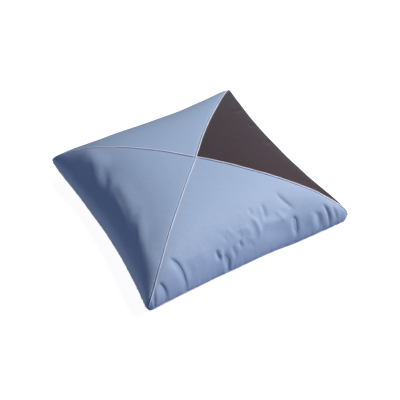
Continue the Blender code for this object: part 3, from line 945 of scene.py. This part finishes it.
class CUSHION_OT_back(bpy.types.Operator):
    """Make the filled body with the back panel as its underside"""

    bl_idname = "cushion.back"
    bl_label = "Back and Filling"

    def execute(self, context):
        pattern = make_pattern(cloth_sizes().back_cells, BACK_POWER)
        on_top = pattern.verts.layers.int.new("on_top")
        raised = bmesh.ops.extrude_face_region(pattern, geom=pattern.faces[:], use_keep_orig=True)["geom"]
        for item in raised:
            if isinstance(item, bmesh.types.BMVert):
                item[on_top] = 1
                item.co.z += cloth_sizes().thickness
        bmesh.ops.recalc_face_normals(pattern, faces=pattern.faces[:])
        mesh = new_mesh("cushion_back_and_filling", pattern)
        shape_back(mesh)
        material = cotton_material("back_sateen", context.scene.cushion_colours.light_blue, 0.15, 0.30)
        piece = finish_piece(mesh.name, mesh, material, "back_cotton", "filled_cushion")
        return {"FINISHED"}


def shape_back(mesh):
    """Lift the doubled pattern to the underside, and to a top that lies under the panels."""
    cloth = cloth_sizes()
    flat = flat_points(mesh)
    x, y = flat[:, 0], flat[:, 1]
    on_top = top_marks(mesh)[:, None]
    top = top_points(x, y)
    underside = underside_points(x, y)
    place_points(mesh, np.where(on_top, top, underside))
    outwards = outward_directions(mesh)
    relief = np.zeros(len(x))
    nearest_edge = np.full(len(x), np.inf)
    u = x / form_sizes().half_side
    v = y / form_sizes().half_side
    for side in SIDES:
        axis, sign = SIDE_AXES[side]
        towards = sign * (u, v)[axis]
        share = np.clip((towards - np.maximum(np.abs(u), np.abs(v))) * SIDE_BLEND + 1.0, 0.0, 1.0)
        from_edge = edge_distance(side, x, y, underside)
        relief += share * edge_relief(side, x, y, from_edge)
        nearest_edge = np.minimum(nearest_edge, from_edge)
    relief *= np.clip(underside[:, 2] / LIFT_EASE, 0.0, 1.0)
    underside = underside + outwards * relief[:, None] - edge_groove(outwards, nearest_edge)
    underside[:, 2] = np.maximum(underside[:, 2], 0.0)
    hidden_top = top - outwards * (cloth.thickness + cloth.body_gap)
    place_points(mesh, np.where(on_top, hidden_top, underside))
    mesh.attributes.remove(mesh.attributes["on_top"])
    keep_cloth_coordinates(mesh, x, y, underside_points)


def piping_route(piping):
    """Points along one piped seam, evenly spaced over the top."""
    half = form_sizes().half_side
    start = -half + PIPING_END if piping.start < 0 else cloth_sizes().piping_radius
    steps = np.linspace(start, half - PIPING_END, ROUTE_STEPS)
    lean = np.clip((half - np.abs(steps)) / LEAN_REACH, 0.0, 1.0)
    x = steps * piping.direction[0] + lean * piping.lean[0]
    y = steps * piping.direction[1] + lean * piping.lean[1]
    points = top_points(*slide_seams(x, y))
    points[:, 2] -= piping.sink
    travelled = np.concatenate([[0.0], np.cumsum(np.linalg.norm(np.diff(points, axis=0), axis=1))])
    even = np.linspace(0.0, travelled[-1], int(travelled[-1] / PIPING_STEP) + 1)
    return np.stack([np.interp(even, travelled, points[:, axis]) for axis in range(3)], axis=1)


def make_piping(piping, material):
    """A covered cord along a seam: a round section swept over the route, with closed ends."""
    route = piping_route(piping)
    draws = np.random.default_rng(len(piping.name))
    jitter = draws.normal(size=len(route) + WANDER_SPAN - 1)
    wander = np.convolve(jitter, np.ones(WANDER_SPAN) / WANDER_SPAN, mode="valid") * math.sqrt(WANDER_SPAN)
    route[:, 2] += wander * PIPING_WANDER
    curve = bpy.data.curves.new(piping.name, "CURVE")
    curve.dimensions = "3D"
    curve.bevel_depth = cloth_sizes().piping_radius
    curve.bevel_resolution = (PIPING_SIDES - 4) // 2
    curve.use_fill_caps = True
    spline = curve.splines.new("POLY")
    spline.points.add(len(route) - 1)
    for point, place in zip(spline.points, route):
        point.co = (*place, 1.0)
    guide = new_object(piping.name, curve)
    evaluated = guide.evaluated_get(bpy.context.evaluated_depsgraph_get())
    mesh = bpy.data.meshes.new_from_object(evaluated)
    mesh.name = piping.name
    bpy.data.objects.remove(guide)
    bpy.data.curves.remove(curve)
    length = np.sum(np.linalg.norm(np.diff(route, axis=0), axis=1))
    scale_piping_coordinates(mesh, length)
    mesh.materials.clear()
    finish_piece(piping.name, mesh, material, "pink_piping", piping.node)


def scale_piping_coordinates(mesh, length):
    """Bring the UV map of a swept cord to metres along and around it."""
    layer = mesh.uv_layers.active
    layer.name = "cloth"
    values = read_all(layer.data, "uv", 2, np.float32)
    values[:, 0] *= length
    values[:, 1] *= 2.0 * math.pi * cloth_sizes().piping_radius
    layer.data.foreach_set("uv", values.ravel())


class CUSHION_OT_piping(bpy.types.Operator):
    """Make the piping in the diagonal seams"""

    bl_idname = "cushion.piping"
    bl_label = "Piping"

    def execute(self, context):
        material = piping_material(context.scene.cushion_colours.pale_pink)
        for piping in PIPINGS:
            make_piping(piping, material)
        return {"FINISHED"}


class Nodes:
    """Short calls for building one node tree."""

    def __init__(self, tree):
        self.tree = tree

    def add(self, kind, inputs=(), **settings):
        node = self.tree.nodes.new(kind)
        for name, value in settings.items():
            setattr(node, name, value)
        self.put(node, inputs)
        return node

    def put(self, node, inputs):
        """Link or set sockets of a node, given in order or by their keys."""
        for key, value in inputs.items() if isinstance(inputs, dict) else enumerate(inputs):
            if isinstance(value, bpy.types.NodeSocket):
                self.tree.links.new(value, node.inputs[key])
            else:
                node.inputs[key].default_value = value

    def math(self, operation, *inputs):
        return self.add("ShaderNodeMath", inputs, operation=operation).outputs[0]

    def noise(self, vector, scale, detail=2.0, roughness=0.5):
        inputs = {"Vector": vector, "Scale": scale, "Detail": detail, "Roughness": roughness}
        return self.add("ShaderNodeTexNoise", inputs).outputs["Fac"]

    def stretch(self, vector, scale, turn=0.0):
        inputs = {"Vector": vector, "Scale": scale, "Rotation": (0.0, 0.0, turn)}
        return self.add("ShaderNodeMapping", inputs).outputs["Vector"]

    def mix_colours(self, share, first, second, **settings):
        inputs = {0: share, 6: first, 7: second}
        return self.add("ShaderNodeMix", inputs, data_type="RGBA", **settings).outputs[2]

    def bump(self, height, strength, distance, **normal):
        inputs = {"Strength": strength, "Distance": distance, "Height": height, **normal}
        return self.add("ShaderNodeBump", inputs).outputs["Normal"]


def shade(colour, *factors):
    """A colour with its channels scaled, by one factor or by one for each."""
    factors = factors * 3 if len(factors) == 1 else factors
    return tuple(min(channel * factor, 1.0) for channel, factor in zip(colour, factors)) + (1.0,)


def new_material(name):
    """An empty Principled material with its node helper and shader."""
    material = bpy.data.materials.new(name)
    material.use_nodes = True
    return material, Nodes(material.node_tree), material.node_tree.nodes["Principled BSDF"]


def sateen_height(nodes, cloth_uv, pitch):
    """Height of a five-shaft sateen: long weft floats, each tied down under every fifth warp thread."""
    split = nodes.add("ShaderNodeSeparateXYZ", [cloth_uv])
    warp = nodes.math("DIVIDE", split.outputs["X"], pitch)
    weft = nodes.math("DIVIDE", split.outputs["Y"], pitch)
    thread = nodes.math("SINE", nodes.math("MULTIPLY", nodes.math("FRACT", weft), math.pi))
    across = nodes.math("SINE", nodes.math("MULTIPLY", nodes.math("FRACT", warp), math.pi))
    rounded = nodes.math("POWER", thread, THREAD_ROUNDNESS)
    weft_step = nodes.math("MULTIPLY", nodes.math("FLOOR", weft), 2.0)
    step = nodes.math("ADD", nodes.math("FLOOR", warp), weft_step)
    tied = nodes.math("LESS_THAN", nodes.math("FLOORED_MODULO", step, 5.0), 0.5)
    dip = nodes.math("MULTIPLY", tied, across)
    return nodes.math("SUBTRACT", rounded, nodes.math("MULTIPLY", dip, TIE_DEPTH))


def finish_sateen(nodes, shader, weave, tone, painted_thread_shade, grain, roughness):
    """Connect a sateen's colour, with painted shade darkening it between its threads, and its uneven gloss.
    """
    grey = nodes.add("ShaderNodeCombineColor", (weave, weave, weave)).outputs[0]
    rough = nodes.add("ShaderNodeMapRange", {0: grain, "To Min": roughness[0], "To Max": roughness[1]})
    nodes.put(shader, {
        # Painted shade: the base colour is multiplied darker where the weave is low, between the threads.
        "Base Color": nodes.mix_colours(painted_thread_shade, tone, grey, blend_type="MULTIPLY"),
        "Roughness": rough.outputs[0],
    })


def cotton_material(name, colour, sheen, gloss):
    """Smooth cotton sateen: fine weave, uneven threads, faint crumple, soft sheen."""
    material, nodes, shader = new_material(name)
    cloth_uv = nodes.add("ShaderNodeUVMap", uv_map="cloth").outputs["UV"]
    place = nodes.add("ShaderNodeTexCoord").outputs["Object"]
    weave = sateen_height(nodes, cloth_uv, cloth_sizes().weave_pitch)
    threads = nodes.noise(nodes.stretch(cloth_uv, THREAD_STRETCH), 1.0)
    cross_threads = nodes.noise(nodes.stretch(cloth_uv, CROSS_STRETCH), 1.0)
    uneven = nodes.math("MULTIPLY", nodes.math("ADD", threads, cross_threads), 0.5)
    tone = nodes.mix_colours(uneven, shade(colour, 0.88), shade(colour, 1.12))
    clouds = nodes.noise(place, 7.0, 3.0)
    tint = nodes.mix_colours(clouds, shade(colour, 0.95, 1.0, 1.03), shade(colour, 1.05, 1.0, 0.97))
    tone = nodes.mix_colours(0.5, tone, tint)
    # 0.25 is the share of painted shade darkening the colour between the threads.
    finish_sateen(nodes, shader, weave, tone, 0.25, nodes.noise(place, 160.0, 3.0), (0.52, 0.66))
    crumple = nodes.bump(nodes.noise(place, 55.0, 4.0, 0.55), 0.35, 0.0018)
    nodes.put(shader, {
        "Normal": nodes.bump(weave, 0.5, 0.0001, Normal=crumple),
        "Sheen Weight": sheen,
        "Sheen Roughness": 0.45,
        "Specular IOR Level": gloss,
    })
    return material


def piping_material(colour):
    """Bias-cut sateen tape round a cord: slanting weave and a satin gloss."""
    material, nodes, shader = new_material("pale_pink_piping_tape")
    cloth_uv = nodes.add("ShaderNodeUVMap", uv_map="cloth").outputs["UV"]
    place = nodes.add("ShaderNodeTexCoord").outputs["Object"]
    slanted = nodes.stretch(cloth_uv, (1.0, 1.0, 1.0), math.radians(45))
    weave = sateen_height(nodes, slanted, cloth_sizes().weave_pitch * TAPE_FINENESS)
    clouds = nodes.noise(place, 60.0, 3.0)
    tone = nodes.mix_colours(clouds, shade(colour, 0.90), shade(colour, 1.08))
    # 0.3 is the share of painted shade darkening the colour between the threads.
    finish_sateen(nodes, shader, weave, tone, 0.3, clouds, (0.40, 0.55))
    nodes.put(shader, {
        "Normal": nodes.bump(weave, 0.5, 0.0001),
        "Sheen Weight": 0.25,
        "Specular IOR Level": 0.4,
    })
    return material


def direction(azimuth, elevation):
    """From the cushion outwards, by an angle round from +X and one above the horizon."""
    level = math.cos(elevation)
    return Vector((math.cos(azimuth) * level, math.sin(azimuth) * level, math.sin(elevation)))


def add_facing(name, data, aim, towards, distance):
    """An object at a distance from the aim point, turned to face it."""
    item = new_object(name, data)
    item.location = Vector(aim) + towards * distance
    item.rotation_mode = "QUATERNION"
    item.rotation_quaternion = (-towards).to_track_quat("-Z", "Y")
    return item


def add_softbox(box, brightness, aim):
    """A square soft light that faces the aim point."""
    light = bpy.data.lights.new(box.name, "AREA")
    light.shape = "SQUARE"
    light.size = box.size
    light.energy = box.power * brightness
    light.color = box.colour
    towards = direction(math.radians(box.azimuth), math.radians(box.elevation))
    add_facing(box.name, light, aim, towards, box.distance)


def add_camera(stage):
    """The camera at the photograph's angle."""
    data = bpy.data.cameras.new("camera")
    data.lens = stage.lens
    data.sensor_width = SENSOR_WIDTH
    towards = direction(stage.azimuth - math.pi / 2.0, stage.elevation)
    bpy.context.scene.camera = add_facing("camera", data, stage.aim, towards, stage.distance)


def add_floor(colour):
    """A plain pale floor with its own glow, left out of reflections and casting no shadow of its own."""
    shape = bmesh.new()
    bmesh.ops.create_grid(shape, x_segments=1, y_segments=1, size=FLOOR_SIZE / 2)
    floor = new_object("studio_floor", new_mesh("studio_floor", shape))
    material, nodes, shader = new_material("studio_floor_paint")
    nodes.put(shader, {
        "Base Color": (*colour, 1.0),
        "Roughness": 0.9,
        "Specular IOR Level": 0.1,
        "Emission Color": GLOW_COLOUR,
        "Emission Strength": FLOOR_GLOW,
    })
    floor.data.materials.append(material)
    floor.visible_diffuse = False
    floor.visible_glossy = False
    floor.visible_shadow = False


def add_sky(strength):
    """An even pale surround, weaker as a light than as a backdrop."""
    world = bpy.data.worlds.new("studio_sky")
    world.use_nodes = True
    world.node_tree.nodes.clear()
    nodes = Nodes(world.node_tree)
    lit = nodes.add("ShaderNodeBackground", (SKY_COLOUR, strength))
    seen = nodes.add("ShaderNodeBackground", (BACKDROP_COLOUR, 1.0))
    ray = nodes.add("ShaderNodeLightPath").outputs["Is Camera Ray"]
    mixed = nodes.add("ShaderNodeMixShader", (ray, lit.outputs[0], seen.outputs[0]))
    nodes.add("ShaderNodeOutputWorld", [mixed.outputs[0]])
    bpy.context.scene.world = world


class CUSHION_OT_stage(bpy.types.Operator):
    """Set up the pale floor, the soft lights and the camera"""

    bl_idname = "cushion.stage"
    bl_label = "Studio"

    def execute(self, context):
        stage = context.scene.cushion_stage
        add_floor(context.scene.cushion_colours.floor)
        add_sky(stage.sky)
        add_camera(stage)
        for box in SOFTBOXES:
            add_softbox(box, stage.brightness, stage.aim)
        context.scene.view_settings.view_transform = "Standard"
        return {"FINISHED"}


class CUSHION_PT_sidebar(bpy.types.Panel):
    """Sizes, colours and steps of the cushion"""

    bl_idname = "CUSHION_PT_sidebar"
    bl_label = "Throw Cushion"
    bl_space_type = "VIEW_3D"
    bl_region_type = "UI"
    bl_category = "Cushion"

    def draw(self, context):
        layout = self.layout
        for group in ("cushion_form", "cushion_cloth", "cushion_colours", "cushion_stage"):
            owner = getattr(context.scene, group)
            box = layout.box()
            for name in owner.__annotations__:
                box.prop(owner, name)
        for step in STEPS:
            layout.operator(step.bl_idname)


GROUPS = {
    "cushion_form": CushionForm,
    "cushion_cloth": CushionCloth,
    "cushion_colours": CushionColours,
    "cushion_stage": CushionStage,
}
STEPS = (
    CUSHION_OT_fill_cover,
    CUSHION_OT_back,
    CUSHION_OT_top_panels,
    CUSHION_OT_piping,
    CUSHION_OT_stage,
)


def register():
    for group in GROUPS.values():
        bpy.utils.register_class(group)
    for name, group in GROUPS.items():
        setattr(bpy.types.Scene, name, PointerProperty(type=group))
    for step in STEPS:
        bpy.utils.register_class(step)
    bpy.utils.register_class(CUSHION_PT_sidebar)


def unregister():
    bpy.utils.unregister_class(CUSHION_PT_sidebar)
    for step in reversed(STEPS):
        bpy.utils.unregister_class(step)
    for name in GROUPS:
        delattr(bpy.types.Scene, name)
    for group in reversed(GROUPS.values()):
        bpy.utils.unregister_class(group)


def main():
    """Build every piece and the stage."""
    register()
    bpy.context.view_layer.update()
    bpy.ops.cushion.fill_cover()
    bpy.ops.cushion.back()
    bpy.ops.cushion.top_panels()
    bpy.ops.cushion.piping()
    bpy.ops.cushion.stage()


if __name__ == "__main__":
    main()
